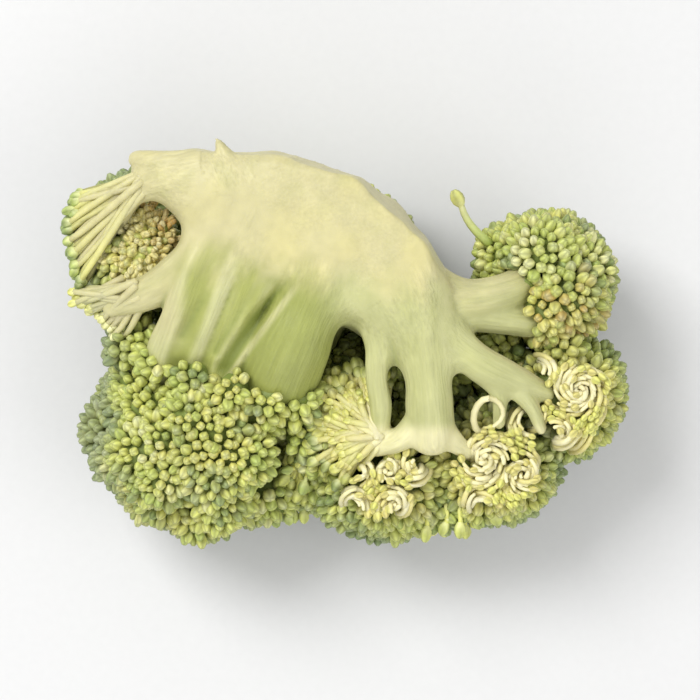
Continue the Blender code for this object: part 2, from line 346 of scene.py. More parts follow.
def unit(vectors):
    """The same directions with a length of 1."""
    vectors = np.asarray(vectors, float)
    return vectors / np.maximum(np.linalg.norm(vectors, axis=-1, keepdims=True), 1e-9)


def place(points):
    """Points of the drawn floret, spread to the frame's box."""
    spread = (HIGH - LOW) / DRAWN_SIZE
    middle = np.array(((LOW[0] + HIGH[0]) / 2, (LOW[1] + HIGH[1]) / 2, LOW[2]))
    return middle + np.asarray(points, float) * spread


def placed(x, y, z):
    """Points of the drawn floret from their x, y and z, each an array or one number for all."""
    return place(np.column_stack(np.broadcast_arrays(x, y, z)))


def node_box(name):
    """The lowest and the highest corner of a CAD node, in mm."""
    low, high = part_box(name)
    return np.array(low) / MM, np.array(high) / MM


def noise(points, seed=0):
    """Smooth noise from -1 to 1 at each point, one lump to each unit of length.

    Large primes and shifts turn the whole numbers of each cell's corner into one that follows no pattern.
    """
    points = np.asarray(points, float)
    cell = np.floor(points).astype(np.int64)
    rest = points - cell
    rest = rest * rest * (3 - 2 * rest)
    total = np.zeros(len(points))
    for corner in range(8):
        step = np.array((corner & 1, corner >> 1 & 1, corner >> 2 & 1))
        at = cell + step
        mixed = at[:, 0] * 73856093 ^ at[:, 1] * 19349663 ^ at[:, 2] * 83492791 ^ seed * 2654435761
        mixed = (mixed ^ (mixed >> 13)) * 1274126177 & 0xFFFFFFFF
        value = ((mixed ^ (mixed >> 16)) & 0xFFFF) / 32767.5 - 1
        weight = np.prod(np.where(step, rest, 1 - rest), axis=1)
        total += value * weight
    return total


def even_directions(count):
    """Directions spread evenly all round, along a golden spiral from the top to the bottom."""
    n = np.arange(count)
    up = 1 - (2 * n + 1) / count
    out = np.sqrt(1 - up * up)
    return np.column_stack((out * np.cos(GOLDEN_ANGLE * n), out * np.sin(GOLDEN_ANGLE * n), up))


def side_axes(axes, spin=0.0):
    """Two directions square to each axis and to each other, turned round it by spin."""
    axes = unit(axes)
    guide = np.where(np.abs(axes[:, 2:3]) < 0.9, (0.0, 0.0, 1.0), (1.0, 0.0, 0.0))
    first = unit(np.cross(guide, axes))
    second = np.cross(axes, first)
    c = np.cos(spin).reshape(-1, 1)
    s = np.sin(spin).reshape(-1, 1)
    return first * c + second * s, second * c - first * s


def new_object(name, data):
    made = bpy.data.objects.new(name, data)
    bpy.context.scene.collection.objects.link(made)
    return made


# Meshes from arrays


def copies_mesh(name, points, colours, rings, sides):
    """A smooth mesh of copies of one shape of rings. points, in mm, and colours are (copies, points, 3)."""
    count, each = points.shape[:2]
    quads, quad_places, triangles, triangle_places = ring_faces(rings, sides)
    cells = grid_cells(count, quad_places, triangle_places)
    quads, triangles = repeat_faces(quads, count, each), repeat_faces(triangles, count, each)
    points, colours = points.reshape(-1, 3), colours.reshape(-1, 3)
    mesh = bpy.data.meshes.new(name)
    corners = np.concatenate((quads.ravel(), triangles.ravel())).astype(np.int32)
    starts = np.concatenate((np.arange(len(quads)) * 4, len(quads) * 4 + np.arange(len(triangles)) * 3))
    mesh.vertices.add(len(points))
    mesh.vertices.foreach_set("co", (points * MM).astype(np.float32).ravel())
    mesh.loops.add(len(corners))
    mesh.loops.foreach_set("vertex_index", corners)
    mesh.polygons.add(len(starts))
    mesh.polygons.foreach_set("loop_start", starts.astype(np.int32))
    mesh.update(calc_edges=True)
    mesh.shade_smooth()
    set_tint(mesh, colours, np.ones(len(points)))
    mesh.uv_layers.new(name="OFBake").data.foreach_set("uv", cells.astype(np.float32).ravel())
    return mesh


def set_tint(mesh, colours, strength):
    """The colour of each point, which the materials read. Its alpha says how strongly fibres show there."""
    tint = mesh.color_attributes.new("tint", "FLOAT_COLOR", "POINT")
    tint.data.foreach_set("color", np.column_stack((colours, strength)).astype(np.float32).ravel())


def grid_cells(count, quad_places, triangle_places):
    """A flat map with each copy in its own cell of a grid. places are one copy's corners, from 0 to 1."""
    side = math.ceil(math.sqrt(count))
    n = np.arange(count)
    rim = 0.06
    corner = np.column_stack((n % side, n // side))[:, None, :] + rim
    quads = (corner + (1 - 2 * rim) * quad_places.reshape(1, -1, 2)) / side
    triangles = (corner + (1 - 2 * rim) * triangle_places.reshape(1, -1, 2)) / side
    return np.concatenate((quads.reshape(-1, 2), triangles.reshape(-1, 2)))


def ring_faces(rings, sides):
    """Faces of one shape of rings, closed by a point at each end, with its corners' places on a flat map."""
    quads, quad_places, triangles, triangle_places = [], [], [], []
    last = 1 + rings * sides
    for side in range(sides):
        after = (side + 1) % sides
        a, b = side / sides, (side + 1) / sides
        for ring in range(rings - 1):
            low, high = 1 + ring * sides, 1 + (ring + 1) * sides
            s, t = (ring + 1) / (rings + 1), (ring + 2) / (rings + 1)
            quads.append((low + side, low + after, high + after, high + side))
            quad_places.append(((a, s), (b, s), (b, t), (a, t)))
        s, t = 1 / (rings + 1), rings / (rings + 1)
        top = 1 + (rings - 1) * sides
        triangles.append((0, 1 + after, 1 + side))
        triangle_places.append((((a + b) / 2, 0), (b, s), (a, s)))
        triangles.append((last, top + side, top + after))
        triangle_places.append((((a + b) / 2, 1), (a, t), (b, t)))
    return np.array(quads), np.array(quad_places), np.array(triangles), np.array(triangle_places)


def repeat_faces(faces, count, points_each):
    """One copy's faces, for every copy."""
    return (faces[None] + (np.arange(count) * points_each)[:, None, None]).reshape(-1, faces.shape[1])


def bud_shape():
    """One closed bud on its pedicel, 1 wide and 1 long above it: four sepals meet in a cross at the tip."""
    points, sepals = [(0, 0, BUD_RINGS[0][0])], [0.0]
    for height, radius in BUD_RINGS:
        for side in range(BUD_SIDES):
            angle = 2 * math.pi * side / BUD_SIDES
            ridge = math.cos(4 * angle) * max(0.0, min(1.0, 2.2 * height))
            wide = radius * (1 + SEPAL_RIDGE * ridge)
            points.append((wide * math.cos(angle), wide * math.sin(angle), height - 0.02 * ridge))
            sepals.append(ridge)
    points.append((0, 0, BUD_TIP))
    sepals.append(-1.0)
    return np.array(points), np.array(sepals)


def buds_mesh(name, buds):
    """Every bud of a cluster: buds holds their base centres, axes, widths, lengths, pedicels and colours."""
    shape, sepals = bud_shape()
    first, second = side_axes(buds["axis"], buds["spin"])
    across = buds["width"][:, None]
    heights = shape[None, :, 2]
    rise = np.where(heights > 0, heights * buds["length"][:, None], heights * buds["pedicel"][:, None])
    points = (
        buds["at"][:, None, :]
        + (shape[None, :, 0] * across)[:, :, None] * first[:, None, :]
        + (shape[None, :, 1] * across)[:, :, None] * second[:, None, :]
        + rise[:, :, None] * buds["axis"][:, None, :]
    )
    along = ramp(heights, 0.0, 0.62)[:, :, None]
    colours = buds["foot"][:, None, :] * (1 - along) + buds["tip"][:, None, :] * along
    frost = ramp(heights, 0.66, 0.95)[:, :, None] * buds["frost"][:, None, None]
    colours = colours * (1 - frost) + FROST * frost
    # Painted shade in the grooves between the sepals, darkest at the tip where they meet.
    sepal_groove_shade = ramp(-sepals, 0.1, 1.0)[None, :, None]
    colours = colours * (1 - 0.42 * sepal_groove_shade)
    return copies_mesh(name, points, colours, len(BUD_RINGS), BUD_SIDES)


def strands_mesh(name, strands, sides=7):
    """Fine stems of one cluster: paths (n, k, 3) with radii (n, k) and a colour at each of their points."""
    paths = np.asarray(strands["path"])
    radii = np.asarray(strands["radius"])
    colours = np.asarray(strands["colour"])
    count, steps = radii.shape
    along = unit(np.gradient(paths, axis=1))
    whole = unit(paths[:, -1] - paths[:, 0])
    guide = side_axes(whole)[0][:, None, :]
    first = unit(guide - along * np.sum(guide * along, axis=2, keepdims=True))
    second = np.cross(along, first)
    angle = 2 * math.pi * np.arange(sides) / sides
    ring = (
        first[:, :, None, :] * np.cos(angle)[None, None, :, None]
        + second[:, :, None, :] * np.sin(angle)[None, None, :, None]
    )
    rings = paths[:, :, None, :] + ring * radii[:, :, None, None]
    start = paths[:, 0] - along[:, 0] * radii[:, 0:1] * 0.6
    end = paths[:, -1] + along[:, -1] * radii[:, -1:] * 0.7
    points = np.concatenate((start[:, None], rings.reshape(count, steps * sides, 3), end[:, None]), axis=1)
    ring_colours = np.repeat(colours, sides, axis=1)
    tints = np.concatenate((colours[:, :1], ring_colours, colours[:, -1:]), axis=1)
    return copies_mesh(name, points, tints, steps, sides)


# Curves


def bezier_paths(a, b, c, d, steps):
    """Cubic curves from a to d through the handles b and c, all (n, 3), as (n, steps, 3)."""
    t = np.linspace(0, 1, steps)[None, :, None]
    a, b, c, d = (np.asarray(p, float)[:, None, :] for p in (a, b, c, d))
    return a * (1 - t) ** 3 + 3 * b * t * (1 - t) ** 2 + 3 * c * t * t * (1 - t) + d * t**3


def smooth_line(points, steps_each=6):
    """A Catmull-Rom curve through points of any width, so radii are carried too."""
    points = np.asarray(points, float)
    padded = np.vstack((2 * points[0] - points[1], points, 2 * points[-1] - points[-2]))
    found = []
    for n in range(len(points) - 1):
        p0, p1, p2, p3 = padded[n : n + 4]
        for t in np.linspace(0, 1, steps_each, endpoint=False):
            found.append(
                0.5
                * (
                    2 * p1
                    + (p2 - p0) * t
                    + (2 * p0 - 5 * p1 + 4 * p2 - p3) * t * t
                    + (3 * p1 - p0 - 3 * p2 + p3) * t**3
                )
            )
    found.append(points[-1])
    return np.array(found)


def placed_line(points):
    """A smooth line through points of the drawn floret, each with its radius."""
    points = np.asarray(points, float)
    return smooth_line(np.column_stack((place(points[:, :3]), points[:, 3])))


def stem_lines():
    """Every stem's smooth centre line with radii, as (n, 4) arrays: those that show, then the hidden."""
    lines = [placed_line(points) for points in STEMS.values()]
    for start, node, shares, thick, thin in HIDDEN_STEMS:
        low, high = node_box(node)
        end = (low + high) / 2 + np.array(shares) * (high - low) / 2
        begin = place(start)
        middle = (begin + end) / 2 + UP
        radii = (thick, (thick + thin) / 2, thin)
        lines.append(smooth_line(np.column_stack(((begin, middle, end), radii))))
    return lines


# The stalk


def tube_object(name, lines):
    """Closed tubes along the lines with balls at their ends, overlapping, in one object."""
    shape = bmesh.new()
    for line in lines:
        paths = line[None, :, :3]
        tube = strands_mesh(name, {"path": paths, "radius": line[None, :, 3], "colour": paths * 0}, sides=20)
        shape.from_mesh(tube)
        bpy.data.meshes.remove(tube)
        for end in (line[0], line[-1]):
            made = bmesh.ops.create_icosphere(shape, subdivisions=3, radius=end[3] * MM)
            for vertex in made["verts"]:
                vertex.co += Vector(end[:3] * MM)
    mesh = bpy.data.meshes.new(name)
    shape.to_mesh(mesh)
    shape.free()
    return new_object(name, mesh)


def apply_modifiers(thing):
    """Turns what the modifiers show into the mesh itself."""
    bpy.context.view_layer.update()
    graph = bpy.context.evaluated_depsgraph_get()
    mesh = bpy.data.meshes.new_from_object(thing.evaluated_get(graph))
    thing.modifiers.clear()
    thing.data = mesh


def grow_together(thing, voxel, smoothing):
    """One skin over all that overlaps, softened by so many rounds of smoothing."""
    join = thing.modifiers.new("join", "REMESH")
    join.mode = "VOXEL"
    join.voxel_size = voxel * MM
    soften = thing.modifiers.new("soften", "SMOOTH")
    soften.factor = 0.5
    soften.iterations = smoothing
    apply_modifiers(thing)


def knife(thing, point, outwards):
    """Cuts off what lies outwards of a point of the drawn floret, and closes the cut."""
    shape = bmesh.new()
    shape.from_mesh(thing.data)
    cut = bmesh.ops.bisect_plane(
        shape,
        geom=shape.verts[:] + shape.edges[:] + shape.faces[:],
        dist=1e-7,
        plane_co=Vector(place(point) * MM),
        plane_no=Vector(outwards).normalized(),
        clear_outer=True,
    )
    rim = [e for e in cut["geom_cut"] if isinstance(e, bmesh.types.BMEdge)]
    bmesh.ops.holes_fill(shape, edges=rim, sides=0)
    shape.to_mesh(thing.data)
    shape.free()


def mesh_arrays(mesh):
    """A mesh's points in mm, its normals there, and its edges."""
    points = np.empty(len(mesh.vertices) * 3, np.float32)
    normals = np.empty(len(mesh.vertices) * 3, np.float32)
    edges = np.empty(len(mesh.edges) * 2, np.int32)
    mesh.vertices.foreach_get("co", points)
    mesh.vertices.foreach_get("normal", normals)
    mesh.edges.foreach_get("vertices", edges)
    return points.reshape(-1, 3) / MM, normals.reshape(-1, 3).astype(float), edges.reshape(-1, 2)


def relaxed(values, edges, steps):
    """Values at a mesh's points, averaged with their neighbours' again and again."""
    values = np.array(values, float)
    flat = values.ndim == 1
    values = values.reshape(len(values), -1)
    a, b = edges[:, 0], edges[:, 1]
    number = np.bincount(a, minlength=len(values)) + np.bincount(b, minlength=len(values))
    for _ in range(steps):
        for column in values.T:
            total = np.bincount(a, column[b], len(column)) + np.bincount(b, column[a], len(column))
            column += 0.5 * (total / np.maximum(number, 1) - column)
    return values[:, 0] if flat else values


def along_stems(points, lines):
    """For each point, a place that runs with the nearest stem: two sides across it and one along it.

    The first line is the root, whose flesh is cut across, so its grain runs no way in particular. The second
    result is 0 where two stems are as near, and 1 well inside a stem.
    """
    best = np.full(len(points), np.inf)
    second_best = np.full(len(points), np.inf)
    strength = np.ones(len(points))
    found = np.zeros((len(points), 3))
    for number, line in enumerate(lines):
        path = line[:, :3]
        steps = np.linalg.norm(np.diff(path, axis=0), axis=1)
        run = np.concatenate(((0,), np.cumsum(steps)))
        direction = unit(np.gradient(path, axis=0))
        guide = side_axes(unit(path[-1:] - path[:1]))[0]
        first = unit(guide - direction * np.sum(guide * direction, axis=1, keepdims=True))
        second = np.cross(direction, first)
        gap = points[:, None, :] - path[None]
        distance = np.linalg.norm(gap, axis=2)
        nearest = np.argmin(distance, axis=1)
        rows = np.arange(len(points))
        offset = gap[rows, nearest]
        depth = distance[rows, nearest] - line[nearest, 3]
        here = np.column_stack(
            (
                np.sum(offset * first[nearest], axis=1),
                np.sum(offset * second[nearest], axis=1),
                run[nearest] + np.sum(offset * direction[nearest], axis=1) + 31.0 * number,
            )
        )
        if number == 0:
            here = points * np.array((1.0, 1.0, 0.5))
            depth = depth + ROOT_GIVES_WAY
        closer = depth < best
        second_best = np.where(closer, best, np.minimum(second_best, depth))
        best[closer] = depth[closer]
        found[closer] = here[closer]
        strength[closer] = 1.0 if number else 0.55
    return found, strength * ramp(second_best - best, 0.05, 0.9)


def move_points(mesh, points):
    mesh.vertices.foreach_set("co", (points * MM).astype(np.float32).ravel())
    mesh.update()


def stalk_body(lines):
    """The root, cut by the knife, with the stems grown out of it."""
    body = tube_object("stalk", [placed_line(ROOT)])
    grow_together(body, JOIN_VOXEL, 4)
    knife(body, *TOP_CUT)
    grow_together(body, JOIN_VOXEL, 30)
    for point, outwards in BACK_CUTS:
        knife(body, point, outwards)
    stems = tube_object("stems", lines)
    shape = bmesh.new()
    shape.from_mesh(body.data)
    shape.from_mesh(stems.data)
    shape.to_mesh(body.data)
    shape.free()
    bpy.data.objects.remove(stems)
    grow_together(body, SKIN_VOXEL, 4)
    points, _, edges = mesh_arrays(body.data)
    move_points(body.data, blended_at_root(points, edges))
    return body


def right_of_broad_edge(points):
    """How far each point lies to the right of the broad stem's left edge, seen from above."""
    x, y = BROAD_EDGE
    return points[:, 0] - x + BROAD_EDGE_LEAN * (y - points[:, 1])


def stalk_piece(lines):
    """The stalk and its stems as one skin, with fibres, flutes, grooves and cut faces."""
    body = stalk_body(lines)
    points, normals, edges = mesh_arrays(body.data)
    grain, inside = along_stems(points, [placed_line(ROOT)] + lines)
    inside = relaxed(inside, edges, 4)
    flat = cut_share(points, normals)
    stretched = grain / FIBRE_SIZE
    fibres = relaxed(0.6 * noise(stretched, 1) + 0.4 * noise(stretched * 2.3, 2), edges, 2)
    flutes = relaxed(noise(grain / FLUTE_SIZE, 5), edges, 3)
    fluted = inside * ramp(-right_of_broad_edge(points), 0.0, 1.6) * ramp(-points[:, 1], -15.5, -7.0)
    swell = relaxed(noise(points / SWELL_SIZE, 3), edges, 2)
    scallop = relaxed(noise(points * (1, 1, 0.15) / SCALLOP_SIZE, 4), edges, 2) * (1 - np.abs(normals[:, 2]))
    lift = FIBRE_RELIEF * fibres * inside + FLUTE_RELIEF * fluted * (flutes - 0.15) + SWELL_RELIEF * swell
    lift = lift * (1 - 0.75 * flat) + SCALLOP_RELIEF * scallop * ramp(points[:, 1], 8.0, 14.0)
    crease = relaxed(crease_depth(points, normals), edges, 4)
    points = points + normals * lift[:, None]
    points[:, 2] -= crease
    points = mix(points, relaxed(points, edges, 12), ramp(crease, 0.02, 0.25))
    # How far each point sinks into a hollow or crease, which sets the painted shade there.
    bend = np.sum((relaxed(points, edges, 40) - points) * normals, axis=1)
    crease_shade = np.maximum(ramp(relaxed(bend, edges, 2), 0.04, 0.45), ramp(crease, 0.1, 0.9))
    move_points(body.data, points)
    set_tint(body.data, stalk_colours(points, flat, crease_shade, fibres, swell, flutes * fluted), inside)
    stored = body.data.attributes.new("grain", "FLOAT_VECTOR", "POINT")
    stored.data.foreach_set("vector", grain.astype(np.float32).ravel())
    body.data.shade_smooth()
    body.data.update()
    return body


def crease_depth(points, normals):
    """How far each point sinks into a crease, for the points that face up."""
    sunk = np.zeros(len(points))
    for crease in CREASES:
        line = smooth_line(np.array(crease), 10)
        drawn = place(np.column_stack((line[:, :2], np.zeros(len(line)))))[:, :2]
        distance = np.linalg.norm(points[:, None, :2] - drawn[None], axis=2)
        nearest = np.argmin(distance, axis=1)
        share = 1 - ramp(distance.min(axis=1) / line[nearest, 2], 0.0, 1.4)
        sunk = np.maximum(sunk, share * line[nearest, 3])
    return sunk * ramp(normals[:, 2], 0.05, 0.4) * ramp(points[:, 2], LOW[2] + 20, LOW[2] + 23)


def blended_at_root(points, edges):
    """Softens the joins of the stems with the root. The stems and the fresh cuts at the back stay crisp."""
    root_line = placed_line(ROOT)
    distance = np.linalg.norm(points[:, None] - root_line[None, :, :3], axis=2) - root_line[None, :, 3]
    near = ramp(-distance.min(axis=1), -4.5, -1.0)
    for point, outwards in BACK_CUTS:
        near = near * ramp(-((points - place(point)) @ unit(outwards)), 0.4, 2.2)
    return mix(points, relaxed(points, edges, 150), near)


def cut_share(points, normals):
    """1 where a point lies on one of the knife's flat cuts, 0 on the skin."""
    share = np.zeros(len(points))
    for cut in (TOP_CUT,) + BACK_CUTS:
        facing = unit(cut[1])
        height = (points - place(cut[0])) @ facing
        here = ramp(height, -0.9, -0.2) * ramp(normals @ facing, 0.75, 0.95)
        if cut is TOP_CUT:
            here = here * ramp(points[:, 1], 7.0, 12.0)
        share = np.maximum(share, here)
    return share


def stalk_colours(points, flat, crease_shade, fibres, swell, flutes):
    """Cream flesh at the cuts, pale skin to the right, greener to the left, painted shade in the grooves and
    a painted highlight along the broad stem's left edge.
    """
    x, y = points[:, 0], points[:, 1]
    right = right_of_broad_edge(points)
    streak = 2.0 * fibres + 1.6 * swell
    cream = np.maximum(ramp(y + 0.10 * x + streak, 5.5, 12.5), flat * 0.9)
    rightness = ramp(x + 0.35 * y, -3.5, 2.0)
    skin = mix(GREEN_STEM, PALE_STEM, rightness * 0.80 + 0.20 * fibres)
    skin = mix(skin, PALE_STEM, ramp(flutes, -0.05, 0.45))
    skin = mix(skin, CREAM, ramp(-x, 18.5, 22.0) * ramp(y, -1.0, 4.0) * 0.8)
    broad = ramp(right, -0.5, 1.5) * ramp(-x, 0.0, 2.5)
    skin = mix(skin, DEEP_STEM_AND_CREASE_SHADE, 0.30 * broad)
    # A painted highlight along the left edge of the broad stem.
    margin = ramp(right, 0.7, 1.2) * ramp(-right, -2.3, -1.5) * ramp(-y, -8.5, -6.0)
    skin = mix(skin, PALE_FLESH * 0.85, 0.42 * margin)
    colours = mix(skin, CREAM, cream)
    # Painted shade in the grooves and creases, weaker on the pale right and on cream flesh.
    colours = mix(colours, DEEP_STEM_AND_CREASE_SHADE, crease_shade * (0.85 - 0.40 * rightness) * (1 - 0.6 * cream))
    lip = ramp(-y, 8.4, 10.2) * ramp(x, 1.5, 3.5)
    colours = mix(colours, PALE_FLESH * 0.92, 0.75 * lip)
    colours = mix(colours, YELLOW_BUD, 0.22 * ramp(swell, 0.1, 0.9) * cream)
    return colours * (1 + 0.07 * fibres[:, None])


# The clusters


def cad_tree(names):
    """The surfaces of some CAD nodes in mm, to cast rays at."""
    points, faces = [], []
    for name in names:
        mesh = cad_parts[name].data
        start = len(points)
        points += [vertex.co / MM for vertex in mesh.vertices]
        faces += [[start + n for n in polygon.vertices] for polygon in mesh.polygons]
    return BVHTree.FromPolygons(points, faces)


def cluster_lobes(name, number):
    """The lobes that cover a cluster where it's open to the air: centres, axes and radii."""
    rng = np.random.default_rng(LOBE_SEED + number)
    low, high = node_box(name)
    middle, half = (low + high) / 2, (high - low) / 2
    own = cad_tree([name])
    others = cad_tree([other for other in CLUSTERS if other != name])
    size = min(1.0, 0.45 + 0.55 * half.min() / 8.0)
    radius = LOBE_RADIUS * size
    area = 4 * math.pi * (half.prod() ** (2 / 3)) * 1.08
    count = int(area / (LOBE_SPACING * size) ** 2 / 0.87)
    turn = rng.uniform(0, 2 * math.pi)
    c, s = math.cos(turn), math.sin(turn)
    found = {"centre": [], "axis": [], "radius": []}
    for direction in even_directions(count):
        x, y, z = unit(direction + rng.normal(0, 0.10, 3))
        direction = np.array((c * x - s * y, s * x + c * y, z))
        at, normal, _, _ = own.ray_cast(Vector(middle + 60 * direction), Vector(-direction))
        if at is None:
            continue
        if others.ray_cast(at + normal * 0.1, normal, 1.4)[0] is not None:
            continue
        if name in KNIFED and np.dot(normal, KNIFE_NORMAL) > ON_THE_CUT:
            continue
        axis = unit(0.6 * np.array(normal) + 0.4 * direction)
        own_radius = radius * rng.uniform(0.82, 1.20)
        sink = own_radius + 0.35 * BUD_WIDTH - rng.uniform(-0.5, 0.7)
        centre = np.array(at) - axis * sink
        centre[2] = max(centre[2], LOW[2] + own_radius + 0.75)
        found["centre"].append(centre)
        found["axis"].append(axis)
        found["radius"].append(own_radius)
    for x, y, z, own_radius in ADDED_LOBES.get(name, ()):
        at = place((x, y, z))
        found["centre"].append(at)
        found["axis"].append(unit(at - middle + 6.0 * UP))
        found["radius"].append(own_radius)
    return {key: np.array(value) for key, value in found.items()}


def lobe_buds(lobes, rng, width):
    """Buds round a golden spiral over each lobe, small at its crown and larger towards its sides."""
    found = {"at": [], "axis": [], "width": [], "lobe": []}
    for n, (centre, facing, radius) in enumerate(zip(lobes["centre"], lobes["axis"], lobes["radius"])):
        reach = LOBE_REACH + FLOOR_REACH * float(ramp(-facing[2], 0.15, 0.7))
        count = int(2 * math.pi * radius**2 * (1 - math.cos(reach)) / (BUD_PACKING * width**2))
        k = np.arange(count)
        share = (k + 0.5) / count
        tilt = reach * share**0.56
        turn = GOLDEN_ANGLE * k + rng.uniform(0, 6.28)
        first, second = side_axes(facing[None])
        direction = (
            facing * np.cos(tilt)[:, None]
            + first * (np.sin(tilt) * np.cos(turn))[:, None]
            + second * (np.sin(tilt) * np.sin(turn))[:, None]
        )
        direction = unit(direction + rng.normal(0, 0.035, (count, 3)))
        found["at"].append(centre + direction * (radius + rng.normal(0, 0.20, count))[:, None])
        found["axis"].append(unit(direction + 0.22 * facing + rng.normal(0, 0.15, (count, 3))))
        found["width"].append(width * (0.74 + 0.32 * share**0.5) * rng.uniform(0.82, 1.14, count))
        found["lobe"].append(np.full(count, n))
    return {key: np.concatenate(value) for key, value in found.items()}


def clear_of_stems(points, lines, margin):
    """Which points stand further than the margin from every stem's skin."""
    keep = np.ones(len(points), bool)
    for line in lines:
        distance = np.linalg.norm(points[:, None] - line[None, :, :3], axis=2) - line[None, :, 3]
        keep &= distance.min(axis=1) > margin
    return keep


def knife_point():
    """A point on the knife's plane: the middle of the flat top of the front cluster."""
    low, high = node_box("bud_cluster_front")
    return np.array(((low[0] + high[0]) / 2, high[1], high[2]))


def above_knife(points):
    """How far each point lies above the knife's plane."""
    return (points - knife_point()) @ KNIFE_NORMAL


def bud_colours(buds, lobes, rng, name):
    """Lime where the rim faces up, blue-green outside, with a tone for each lobe and each bud."""
    axis = lobes["axis"][buds["lobe"]]
    at = buds["at"]
    up = ramp(0.45 * axis[:, 2] + 0.55 * buds["axis"][:, 2] + 0.18 * noise(at / 5.0, 7), -0.65, 0.35)
    count = len(at)
    tone = rng.normal(0, 1, len(lobes["radius"]))[buds["lobe"]]
    own = rng.normal(0, 1, count)
    lime = mix(GREEN_BUD, LIME_BUD, 0.62 + 0.12 * tone + 0.20 * own)
    lime = mix(lime, YELLOW_BUD, 0.45 * ramp(noise(at / 7.0, 12) + 0.3 * own, 0.1, 1.0))
    lime = mix(lime, PALE_BUD, 0.8 * ramp(noise(at / 5.0, 8) + 0.35 * own, 0.35, 1.3))
    dark = mix(DARK_BUD, GREEN_BUD, 0.14 + 0.10 * tone + 0.12 * own)
    blue = ramp(noise(at / 2.6, 21) + 0.40 * rng.normal(0, 1, count), 0.25, 1.0)
    lime = mix(lime, DARK_BUD, 0.75 * blue)
    if name in KNIFED:
        up = up * (0.30 + 0.70 * ramp(above_knife(at), -9.0, -3.0))
    tip = mix(dark, lime, up)
    if name in KNIFED:
        near = ramp(above_knife(at), -4.5, -0.5)
        tip = mix(tip, YELLOW_BUD, near * (0.55 + 0.2 * own))
    if name == "bud_cluster_back_right":
        warm = ramp(-np.linalg.norm(at[:, :2] - place((26.0, 3.5, 0))[:2], axis=1) + 1.2 * own, -6.5, -1.5)
        warm = warm * ramp(at[:, 2], LOW[2] + 15, LOW[2] + 19)
        tip = mix(tip, mix(YELLOW_BUD, OCHRE, ramp(own, 0.2, 1.2)), 0.75 * warm)
    if name == "bud_cluster_front_left":
        outside = ramp(3 * noise(at / 3.0, 9) - at[:, 0], 26.5, 31.0)
        tip = mix(tip, 0.4 * FROST + 0.35 * DARK_BUD, 0.75 * outside)
    foot = mix(tip, PALE_BUD, 0.30 + 0.45 * up)
    frost = np.clip(0.42 + 0.25 * own, 0, 0.9) * (1 - 0.55 * up)
    return tip, foot, frost


def natural_buds(all_lobes, lines):
    """The buds of every cluster, without those inside another lobe, a stem or past the knife."""
    centres = np.concatenate([lobes["centre"] for lobes in all_lobes.values()])
    radii = np.concatenate([lobes["radius"] for lobes in all_lobes.values()])
    start = 0
    found = {}
    for number, (name, lobes) in enumerate(all_lobes.items()):
        rng = np.random.default_rng(BUD_SEED + number)
        buds = lobe_buds(lobes, rng, BUD_WIDTH)
        distance = np.linalg.norm(buds["at"][:, None] - centres[None], axis=2) - radii[None]
        distance[np.arange(len(buds["at"])), start + buds["lobe"]] = 9.0
        keep = distance.min(axis=1) > -0.35
        keep &= clear_of_stems(buds["at"], lines, 0.3)
        if name in KNIFED:
            keep &= above_knife(buds["at"]) < -0.3
        buds = {key: value[keep] for key, value in buds.items()}
        count = len(buds["at"])
        buds["length"] = buds["width"] * rng.uniform(1.20, 1.60, count)
        buds["pedicel"] = rng.uniform(0.9, 1.5, count)
        buds["spin"] = rng.uniform(0, math.pi / 2, count)
        buds["tip"], buds["foot"], buds["frost"] = bud_colours(buds, lobes, rng, name)
        del buds["lobe"]
        buds["at"] = buds["at"] - buds["axis"] * (0.45 * buds["length"])[:, None]
        buds = rest_on_floor(buds)
        found[name] = buds
        start += len(lobes["radius"])
    return found


def rest_on_floor(buds):
    """Lifts the buds that would sink into the surface that the floret lies on."""
    middle = buds["at"] + buds["axis"] * (0.5 * buds["length"])[:, None]
    reach = 0.5 * np.maximum(buds["width"], buds["length"] * np.abs(buds["axis"][:, 2]))
    buds["at"][:, 2] += np.maximum(0, LOW[2] + reach - middle[:, 2])
    return buds


def join_groups(groups):
    """Several groups of strands, or of buds, as one."""
    return {key: np.concatenate([group[key] for group in groups]) for key in groups[0]}


def strand_group(a, b, c, d, thick, thin, foot, tip):
    """Curved fine stems from a to d: thick and thin are radii, foot and tip are colours, one or one each."""
    paths = bezier_paths(a, b, c, d, STRAND_STEPS)
    count = len(paths)
    t = np.linspace(0, 1, STRAND_STEPS)
    thick = np.broadcast_to(np.asarray(thick, float), (count,))[:, None]
    thin = np.broadcast_to(np.asarray(thin, float), (count,))[:, None]
    radii = thick * (1 - t) + thin * t
    foot = np.broadcast_to(foot, (count, 3))[:, None, :]
    tip = np.broadcast_to(tip, (count, 3))[:, None, :]
    colours = foot * (1 - t[None, :, None]) + tip * t[None, :, None]
    return {"path": paths, "radius": radii, "colour": colours}


def cluster_heart(name, lines):
    """Where the cluster's fine stems leave its stem: the end of the stem that ends nearest to its middle."""
    low, high = node_box(name)
    ends = np.array([line[-1, :3] for line in lines])
    return ends[np.argmin(np.linalg.norm(ends - (low + high) / 2, axis=1))]


